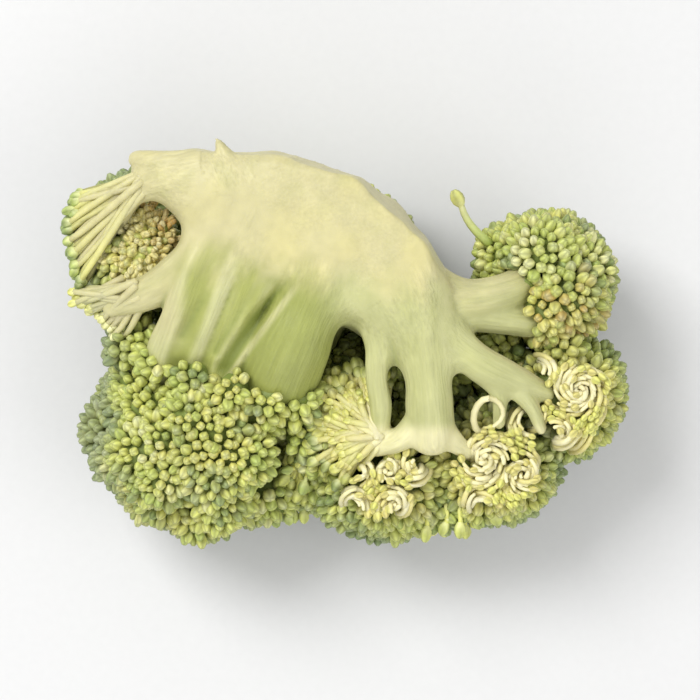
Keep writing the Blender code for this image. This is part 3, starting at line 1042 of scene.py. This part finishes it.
def lobe_stems(name, lobes, lines, rng):
    """A short branch to each lobe that swells into the lobe's body, so that no gap shows between buds."""
    if name in KNIFED:
        shown = above_knife(lobes["centre"]) < -1.6
        lobes = {key: value[shown] for key, value in lobes.items()}
    heart = cluster_heart(name, lines)
    count = len(lobes["radius"])
    centre, axis, radius = lobes["centre"], lobes["axis"], lobes["radius"] * LOBE_BODY
    if name in KNIFED:
        radius = np.minimum(radius, -above_knife(centre) - 0.9)
    low, high = node_box(name)
    deep = 0.35 * heart + 0.65 * (low + high) / 2 - 3.0 * UP
    start = np.repeat(deep[None], count, axis=0) + rng.normal(0, 0.8, (count, 3))
    # The branches and bodies are painted dark as the shade behind the buds, darkest where a lobe faces down.
    up = ramp(axis[:, 2], -0.4, 0.4)
    colour = mix(DARK_BUD * 0.7, SHADED_LEAF, up)
    bend = start * 0.6 + centre * 0.4 - axis
    under = centre - axis * radius[:, None] * 1.2
    branch = strand_group(start, bend, under, centre, 1.3, 1.0, colour, colour)
    t = np.linspace(-1, 1, STRAND_STEPS)
    bodies = {
        "path": centre[:, None] + axis[:, None] * (t[None, :, None] * radius[:, None, None]),
        "radius": np.sqrt(np.maximum(1 - (t * 0.97) ** 2, 0.02))[None] * radius[:, None],
        "colour": np.repeat(colour[:, None], STRAND_STEPS, axis=1),
    }
    return join_groups([branch, bodies])


# Where the knife opened the lobes


def open_face(name, rng, spacing, tries=9000):
    """Points over the cluster's flat knife face, no closer to each other than the spacing."""
    low, high = node_box(name)
    tree = cad_tree([name])
    found = np.empty((0, 3))
    for x, y in rng.uniform(low[:2], high[:2], (tries, 2)):
        if len(found) and np.min((found[:, 0] - x) ** 2 + (found[:, 1] - y) ** 2) < spacing**2:
            continue
        at, normal, _, _ = tree.ray_cast(Vector((x, y, high[2] + 5)), Vector((0, 0, -1)))
        if at is not None and np.dot(normal, KNIFE_NORMAL) > ON_THE_CUT:
            found = np.vstack((found, at))
    return found


def swirls(name, rng, lines):
    """Opened lobes over the knife face: fine stems in arcs round each rosette, some with a small bud."""
    ends = open_face(name, rng, 0.64)
    ends = ends[clear_of_stems(ends, lines, 0.1)]
    centres = place([(x, y, 0) for x, y, _ in ROSETTES])[:, :2]
    radii = np.array([radius for _, _, radius in ROSETTES])
    gap = np.linalg.norm(ends[:, None, :2] - centres[None], axis=2) / radii[None]
    nearest = np.argmin(gap, axis=1)
    share = gap[np.arange(len(ends)), nearest]
    count = len(ends)
    turned = np.where(np.arange(len(radii)) % 2, 1.0, -1.0)[nearest]
    middle = centres[nearest]
    out = ends[:, :2] - middle
    distance = np.maximum(np.linalg.norm(out, axis=1), 0.2)
    angle = np.arctan2(out[:, 1], out[:, 0])
    sweep = turned * np.minimum(rng.uniform(2.2, 4.2, count) / distance, 2.2)
    crown = 0.9 * np.clip(1 - share**2, -0.6, 1)
    lift = rng.normal(0, 0.28, count)

    def ring(part, inwards, sink):
        """Each stem's place when part of its sweep is left: nearer the middle by inwards, lower by sink."""
        turn = angle - sweep * part
        reach = distance * inwards
        flat = middle + np.column_stack((np.cos(turn), np.sin(turn))) * reach[:, None]
        return np.column_stack((flat, ends[:, 2] + crown + lift - sink))

    tip_place = ring(0.0, 1.0, 0.0)
    late = ring(0.35, 0.96, -0.35) + rng.normal(0, 0.12, (count, 3))
    early = ring(0.80, 0.84, 0.5) + rng.normal(0, 0.15, (count, 3))
    start = ring(1.0, 0.66, 2.4)
    warm = ramp(0.6 - share + rng.normal(0, 0.35, count), 0.0, 1.0)
    tone = mix(PALE_FLESH, YELLOW_BUD, ramp(share + rng.normal(0, 0.3, count), 0.5, 1.5) * 0.8)
    tone = mix(tone, OCHRE, 0.35 * warm * ramp(rng.normal(0, 1, count), 0.2, 1.6))
    thick = rng.uniform(0.26, 0.43, count)
    # Each stem's foot, deep in the swirl, is painted darker as shade.
    group = strand_group(start, early, late, tip_place, thick * 1.1, thick * 0.72, tone * 0.72, tone)
    budding = (share > 0.92) | (rng.uniform(0, 1, count) < 0.26)
    chosen = {key: value[budding] for key, value in group.items()}
    number = int(budding.sum())
    lime = ramp(share[budding] + rng.normal(0, 0.3, number), 0.5, 1.3)
    tips = mix(YELLOW_BUD, LIME_BUD, lime)
    buds = tip_buds(chosen, rng, 0.95, tips)
    buds["axis"] = unit(buds["axis"] + 0.7 * KNIFE_NORMAL)
    return [group], [buds]


def fan(source, targets, rng, rise, thick, thin, foot, tip, spread=0.35):
    """Fine stems that leave one place and fan out to the targets."""
    count = len(targets)
    start = source + rng.normal(0, spread, (count, 3))
    run = targets - start
    first = start + run * 0.35 + UP * rise
    second = start + run * 0.72 + UP * rise * 0.7 + rng.normal(0, 0.25, (count, 3))
    return strand_group(start, first, second, targets, thick, thin, foot, tip)


def tip_buds(group, rng, width, tips):
    """A bud at the end of each fine stem of a group."""
    end = group["path"][:, -1]
    direction = unit(end - group["path"][:, -2])
    count = len(end)
    return {
        "at": end - direction * 0.2,
        "axis": unit(direction + rng.normal(0, 0.15, (count, 3))),
        "width": width * rng.uniform(0.85, 1.15, count),
        "length": 1.25 * width * rng.uniform(0.85, 1.15, count),
        "spin": rng.uniform(0, 1.57, count),
        "pedicel": np.full(count, 0.5),
        "tip": tips,
        "foot": mix(tips, PALE_BUD, 0.6),
        "frost": np.full(count, 0.12),
    }


def left_upper_fan(rng):
    """The left cluster's upper half, split along its stems: a bright fan over a shaded one."""
    groups, bud_groups = [], []
    for count, sink, shade in ((22, 0.0, 1.0), (30, 1.1, 0.55)):
        share = np.linspace(0, 1, count)
        x = -32.2 - 1.1 * np.sin(share * 3.1)
        edge = placed(x, 19.0 - 10.5 * share, 25.6 - 1.5 * share - sink)
        targets = edge + rng.normal(0, 0.25, edge.shape)
        foot = CREAM * shade
        tone = mix(CREAM, LIME_BUD, rng.uniform(0, 0.6, count)) * shade
        groups.append(fan(place((-24.4, 20.4, 28.6 - sink)), targets, rng, 1.3, 0.50, 0.36, foot, tone, 0.6))
        dark = mix(GREEN_BUD, DARK_BUD, rng.uniform(0, 0.8, count))
        bud_groups.append(tip_buds(groups[-1], rng, 1.3, dark))
    return groups, bud_groups


def left_lower_fan(rng):
    """The left cluster's lower half: two pale fans, one over the other."""
    groups, bud_groups = [], []
    for count, sink in ((26, 0.0), (24, 1.0)):
        share = np.linspace(0, 1, count)
        edge = placed(-33.3 + 5.8 * share, 7.2 - 5.4 * share, 24.4 - 1.6 * share - sink)
        targets = edge + rng.normal(0, 0.4, edge.shape)
        tone = mix(PALE_STEM, CREAM, rng.uniform(0, 1, count))
        source = place((-24.6, 7.2, 26.4 - sink))
        groups.append(fan(source, targets, rng, 0.7, 0.52, 0.34, CREAM, tone, 0.9))
        bud_groups.append(tip_buds(groups[-1], rng, 1.0, mix(LIME_BUD, PALE_BUD, share)))
    return groups, bud_groups


def left_hollow(rng):
    """The hollow between the left fans, full of short stems that have browned to the right."""
    count = 190
    angle = rng.uniform(0, 2 * math.pi, count)
    out = np.sqrt(rng.uniform(0, 1, count))
    x = -25.4 + 4.8 * out * np.cos(angle)
    y = 12.6 + 5.4 * out * np.sin(angle)
    targets = placed(x, y, 25.8 - 1.2 * out) + rng.normal(0, 0.35, (count, 3))
    brown = ramp(targets[:, 0] + 0.5 * targets[:, 1] + rng.normal(0, 1.2, count), -18.5, -12.5)
    tone = mix(mix(YELLOW_BUD, PALE_FLESH, rng.uniform(0, 0.8, count)), OCHRE, brown)
    group = fan(place((-25.0, 13.0, 21.0)), targets, rng, 0.0, 0.6, 0.34, PALE_BUD, tone, 1.4)
    return [group], [tip_buds(group, rng, 0.85, tone)]


def middle_fan(rng):
    """The small middle cluster: tongues of fine stem that fan from the slender stem to the upper left."""
    count = 150
    angle = rng.uniform(math.radians(60), math.radians(250), count)
    out = rng.uniform(0.30, 1.0, count) ** 0.7
    wide = np.where(np.cos(angle) > 0, 3.2, 8.2)
    x = 3.2 + wide * out * np.cos(angle)
    y = -9.6 + 7.4 * out * np.sin(angle)
    targets = placed(x, y, 25.6 - 3.6 * out**2) + rng.normal(0, 0.3, (count, 3))
    tips = mix(mix(YELLOW_BUD, LIME_BUD, rng.uniform(0, 1, count)), CREAM, 0.35) * 0.88
    group = fan(place((3.4, -10.2, 23.4)), targets, rng, 1.0, 0.50, 0.36, PALE_FLESH * 0.92, tips, 0.5)
    far = out > 0.80
    ends = {key: value[far] for key, value in group.items()}
    dark = mix(LIME_BUD, DARK_BUD, rng.uniform(0, 0.9, int(far.sum())))
    near = {key: value[~far] for key, value in group.items()}
    small = mix(YELLOW_BUD, LIME_BUD, rng.uniform(0, 1, int((~far).sum())))
    return [group], [tip_buds(ends, rng, 1.4, dark), tip_buds(near, rng, 0.9, small)]


def hanging_pedicels(rng):
    """Between the front clusters, long fine stems seen from the side, each with its bud hanging down."""
    count = 64
    x = rng.uniform(-8.4, -0.8, count)
    start = placed(0.5 * x - 1.5, -10.5, 13.0) + rng.normal(0, 0.8, (count, 3))
    drop = rng.uniform(0, 1, count)
    end = placed(x, -12.5 - 8.0 * drop, 19.8 - 6.0 * drop + rng.normal(0, 0.7, count))
    first = start + (end - start) * 0.3 + 2.6 * UP
    second = start + (end - start) * 0.75 + 2.0 * UP + rng.normal(0, 0.6, (count, 3))
    group = strand_group(start, first, second, end, 0.34, 0.24, CREAM, LIME_BUD)
    tips = mix(LIME_BUD, GREEN_BUD, rng.uniform(0, 1, count))
    return [group], [tip_buds(group, rng, 1.35, tips)]


def fringe(rng):
    """Along the front edge, larger buds on short stems that hang outwards from under the knife's cut."""
    count = 26
    x = np.linspace(1.5, 22.5, count) + rng.normal(0, 0.35, count)
    out = -22.9 + 0.028 * (x - 10.5) ** 2 + rng.uniform(0, 1.6, count)
    height = rng.uniform(13.5, 18.5, count)
    start = placed(x * 0.9 + 1.1, out + 4.5, height - 1.5)
    end = placed(x, out + 0.6, height)
    bend = (start + end) / 2 + 1.4 * UP
    group = strand_group(start, bend, bend, end, 0.40, 0.30, PALE_STEM, LIME_BUD)
    tips = mix(LIME_BUD, GREEN_BUD, rng.uniform(0, 0.8, count))
    return [group], [tip_buds(group, rng, 1.62, tips)]


def curled_strand(rng):
    """A fine stem cut loose at both ends, curled up beside the lower right stem."""
    a, b, c = (15.9, -10.2, 23.4), (16.8, -5.8, 25.6), (17.3, -9.2, 25.0)
    group = strand_group(
        place([a, b]),
        place([(14.0, -9.0, 24.2), (18.2, -5.9, 26.2)]),
        place([(15.2, -5.6, 25.0), (19.4, -8.0, 25.8)]),
        place([b, c]),
        (0.46, 0.40),
        (0.40, 0.22),
        CREAM,
        PALE_FLESH,
    )
    return [group], []


def stray_bud(rng):
    """A lone bud that stands off the back right cluster on its own fine stem."""
    group = strand_group(
        place([(17.0, 13.0, 21.5)]),
        place([(15.2, 14.4, 22.4)]),
        place([(14.0, 15.6, 22.8)]),
        place([(13.5, 17.6, 22.9)]),
        0.6,
        0.4,
        GREEN_BUD,
        PALE_STEM,
    )
    return [group], [tip_buds(group, rng, 1.7, mix(GREEN_BUD, YELLOW_BUD, 0.5)[None])]


# What some clusters have besides their lobes and swirls.
EXTRAS = {
    "bud_cluster_left": (left_upper_fan, left_lower_fan, left_hollow),
    "bud_cluster_middle": (middle_fan,),
    "bud_cluster_back_right": (stray_bud,),
    "bud_cluster_front": (hanging_pedicels,),
    "bud_cluster_front_right": (fringe, curled_strand),
}


# Materials


def add_node(tree, kind, links=None, **settings):
    """Adds a node with its settings, and links its inputs from the sockets given by name or number."""
    made = tree.nodes.new(kind)
    for key, value in settings.items():
        setattr(made, key, value)
    for socket, source in (links or {}).items():
        if isinstance(source, bpy.types.NodeSocket):
            tree.links.new(source, made.inputs[socket])
        else:
            made.inputs[socket].default_value = source
    return made


def noise_node(tree, where, scale, detail):
    links = {"Vector": where, "Scale": scale, "Detail": detail}
    return add_node(tree, "ShaderNodeTexNoise", links).outputs["Fac"]


def range_node(tree, value, low, high, to_low, to_high):
    """The value, spread from low..high to to_low..to_high and held at both ends."""
    links = {"Value": value, "From Min": low, "From Max": high, "To Min": to_low, "To Max": to_high}
    return add_node(tree, "ShaderNodeMapRange", links).outputs["Result"]


def vector_node(tree, operation, links):
    return add_node(tree, "ShaderNodeVectorMath", links, operation=operation).outputs["Vector"]


def math_node(tree, operation, *values):
    return add_node(tree, "ShaderNodeMath", dict(enumerate(values)), operation=operation).outputs[0]


def new_material(name):
    """A new material with its node tree and its shader."""
    made = bpy.data.materials.new(name)
    made.use_nodes = True
    return made, made.node_tree, made.node_tree.nodes["Principled BSDF"]


def plant_material(name, lump, tone, bump, roughness, glow):
    """Fresh plant tissue: the tint stored at its points, which also holds painted shade and a painted
    highlight, mottled at lump mm, with a fine bump all over.
    """
    made, tree, shader = new_material(name)
    tint = add_node(tree, "ShaderNodeAttribute", attribute_name="tint")
    where = add_node(tree, "ShaderNodeTexCoord").outputs["Object"]
    mottle = noise_node(tree, where, 1 / (lump * MM), 3.0)
    level = range_node(tree, mottle, 0.3, 0.7, 1 - tone, 1 + tone)
    shade = vector_node(tree, "SCALE", {0: tint.outputs["Color"], "Scale": level})
    tree.links.new(shade, shader.inputs["Base Color"])
    grain = noise_node(tree, where, 1 / (0.3 * MM), 4.0)
    relief = add_node(tree, "ShaderNodeBump", {"Height": grain, "Strength": bump, "Distance": 0.08 * MM})
    tree.links.new(relief.outputs["Normal"], shader.inputs["Normal"])
    gloss = range_node(tree, grain, 0.3, 0.7, roughness - 0.08, roughness + 0.08)
    tree.links.new(gloss, shader.inputs["Roughness"])
    shader.inputs["Subsurface Weight"].default_value = glow
    shader.inputs["Subsurface Radius"].default_value = (1.0, 0.9, 0.35)
    shader.inputs["Subsurface Scale"].default_value = 1.2 * MM
    shader.inputs["IOR"].default_value = 1.40
    return made


def add_fibres(made):
    """Fibres that run with the stem, in the stalk's colour and relief. They fade where two stems meet."""
    tree = made.node_tree
    shader = tree.nodes["Principled BSDF"]
    before = shader.inputs["Base Color"].links[0].from_socket
    relief = shader.inputs["Normal"].links[0].from_socket
    inside = tree.nodes["Attribute"].outputs["Alpha"]
    along = add_node(tree, "ShaderNodeAttribute", attribute_name="grain").outputs["Vector"]
    fine = vector_node(tree, "MULTIPLY", {0: along, 1: (2.6, 2.6, 0.16)})
    streak = math_node(tree, "SUBTRACT", noise_node(tree, fine, 1.0, 4.0), 0.5)
    shown = math_node(tree, "MULTIPLY", streak, inside)
    level = math_node(tree, "MULTIPLY_ADD", shown, 0.42, 0.98)
    shade = vector_node(tree, "SCALE", {0: before, "Scale": level})
    wide = vector_node(tree, "MULTIPLY", {0: along, 1: (0.5, 0.5, 0.05)})
    band = range_node(tree, noise_node(tree, wide, 1.0, 3.0), 0.45, 0.75, 0.0, 0.24)
    reach = math_node(tree, "MULTIPLY", band, inside)
    tones = {"Factor": reach, 6: shade, 7: (*GREEN_STEM, 1.0)}
    green = add_node(tree, "ShaderNodeMix", tones, data_type="RGBA")
    tree.links.new(green.outputs[2], shader.inputs["Base Color"])
    ridges = {"Height": shown, "Strength": 0.6, "Distance": 0.25 * MM, "Normal": relief}
    ribs = add_node(tree, "ShaderNodeBump", ridges)
    tree.links.new(ribs.outputs["Normal"], shader.inputs["Normal"])
    return made


def plant_materials():
    # Skin and cut flesh of the stalk: moist and dense. It has a broad soft sheen, a little light comes back
    # through it, and fibres run along each stem.
    name = "cut_stem_flesh_and_skin"
    flesh = plant_material(name, lump=2.2, tone=0.05, bump=0.35, roughness=0.46, glow=0.12)
    # A bud's waxy skin: thin and smooth, with a small highlight on each bud and hardly any glow.
    bud_skin = plant_material("waxy_bud_skin", lump=0.8, tone=0.08, bump=0.30, roughness=0.42, glow=0.06)
    # Fine stems that the knife laid open: pale and wet inside, and the light goes furthest into them.
    fine_stem = plant_material("fine_stem_flesh", lump=1.2, tone=0.07, bump=0.25, roughness=0.50, glow=0.15)
    return add_fibres(flesh), bud_skin, fine_stem


def card_material():
    """Matt light grey card, with a grain so fine that it only just shows."""
    made, tree, shader = new_material("pale_card")
    where = add_node(tree, "ShaderNodeTexCoord").outputs["Object"]
    grain = noise_node(tree, where, 0.9 / MM, 3.0)
    tree.links.new(range_node(tree, grain, 0.0, 1.0, 0.66, 0.69), shader.inputs["Base Color"])
    shader.inputs["Roughness"].default_value = 0.8
    return made


# Putting it together


def finish_piece(thing, node, finish):
    thing.data.materials.clear()
    thing.data.materials.append(finish)
    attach(thing, "root")
    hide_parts(node)


def studio():
    mesh = bpy.data.meshes.new("floor")
    corners = [(-CARD, -CARD, 0), (CARD, -CARD, 0), (CARD, CARD, 0), (-CARD, CARD, 0)]
    mesh.from_pydata(corners, [], [(0, 1, 2, 3)])
    mesh.materials.append(card_material())
    floor = new_object("floor", mesh)
    floor.location.z = CAD_BOX[0][2]
    for name, at, size, power in LIGHTS:
        light = bpy.data.lights.new(name, "AREA")
        light.size = size
        light.energy = power
        lamp = new_object(name, light)
        lamp.location = at
        lamp.rotation_euler = (-Vector(at)).to_track_quat("-Z", "Y").to_euler()
    world = bpy.data.worlds.new("studio")
    world.use_nodes = True
    world.node_tree.nodes["Background"].inputs["Color"].default_value = (1.0, 1.0, 1.0, 1.0)
    world.node_tree.nodes["Background"].inputs["Strength"].default_value = SKY
    bpy.context.scene.world = world
    bpy.context.scene.view_settings.view_transform = "Standard"


def camera():
    """Looks straight down on the middle of the floret."""
    eye = bpy.data.cameras.new("camera")
    eye.lens = LENS
    eye.sensor_width = SENSOR
    shown = (HIGH[0] - LOW[0]) * MM / FLORET_SHARE
    height = FOCUS_HEIGHT + eye.lens / eye.sensor_width * shown
    made = new_object("camera", eye)
    made.location = ((LOW[0] + HIGH[0]) / 2 * MM, (LOW[1] + HIGH[1]) / 2 * MM, height)
    bpy.context.scene.camera = made


def cluster_pieces(name, lobes, buds, lines, rng):
    """A cluster's buds and its fine stems, as two meshes."""
    strand_groups, bud_groups = [lobe_stems(name, lobes, lines, rng)], [buds]
    extras = [swirls(name, rng, lines)] if name in SWIRLED else []
    extras += [extra(rng) for extra in EXTRAS.get(name, ())]
    for more_strands, more_buds in extras:
        strand_groups += more_strands
        bud_groups += more_buds
    stems = strands_mesh(name + "_fine_stems", join_groups(strand_groups))
    return buds_mesh(name + "_buds", join_groups(bud_groups)), stems


def main():
    camera()
    studio()
    flesh, bud_skin, fine_stem = plant_materials()
    lines = stem_lines()
    finish_piece(stalk_piece(lines), "stalk", flesh)
    all_lobes = {name: cluster_lobes(name, n) for n, name in enumerate(CLUSTERS)}
    all_buds = natural_buds(all_lobes, lines + [placed_line(ROOT)])
    for number, name in enumerate(CLUSTERS):
        rng = np.random.default_rng(STRAND_SEED + number)
        buds, stems = cluster_pieces(name, all_lobes[name], all_buds[name], lines, rng)
        finish_piece(new_object(name.replace("bud_cluster", "buds"), buds), name, bud_skin)
        finish_piece(new_object(name.replace("bud_cluster", "fine_stems"), stems), name, fine_stem)


main()
